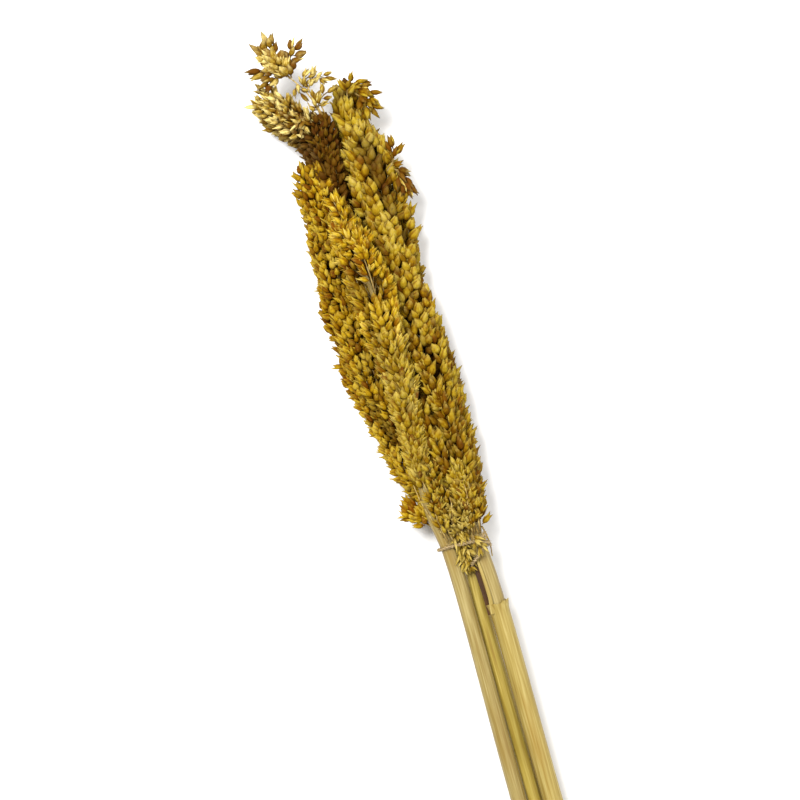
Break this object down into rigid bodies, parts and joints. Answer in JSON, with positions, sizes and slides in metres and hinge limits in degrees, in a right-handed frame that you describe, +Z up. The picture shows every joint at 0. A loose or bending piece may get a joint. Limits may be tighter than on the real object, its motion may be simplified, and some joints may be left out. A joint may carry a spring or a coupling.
{
  "type": "sorghum seed head",
  "caption": "Tied bunch of dried sorghum seed heads on cut straw stems, lying on its side, used as a dried decoration.",
  "frame": {"origin": "middle of the bunch's box, on the surface that it lies on", "axes": "+Y along the bunch from the cut stems to the seed heads, +X across it to the side of the tallest head, +Z up from the surface"},
  "size_m": [0.079, 0.4994, 0.042],
  "materials": {
    "grain_olive": "matte",
    "grain_gold": "matte",
    "grain_ochre": "matte",
    "grain_rust": "matte",
    "stem_straw": "satin",
    "sheath_straw": "satin",
    "twine": "matte"
  },
  "bodies": {
    "root": {"stalk_a_stem": "stem_straw", "stalk_b_stem": "stem_straw", "stalk_c_stem": "stem_straw", "leaf_sheath": "sheath_straw", "dry_strip": "sheath_straw", "head_a": "grain_olive", "head_b": "grain_gold", "head_c": "grain_ochre", "loose_sprig": "grain_gold", "top_sprig": "grain_rust", "hanging_sprig": "grain_rust", "stray_cluster": "grain_gold", "base_tuft": "grain_olive", "side_tuft": "grain_ochre", "twine_loop": "twine", "twine_knot": "twine"}
  },
  "joints": []
}
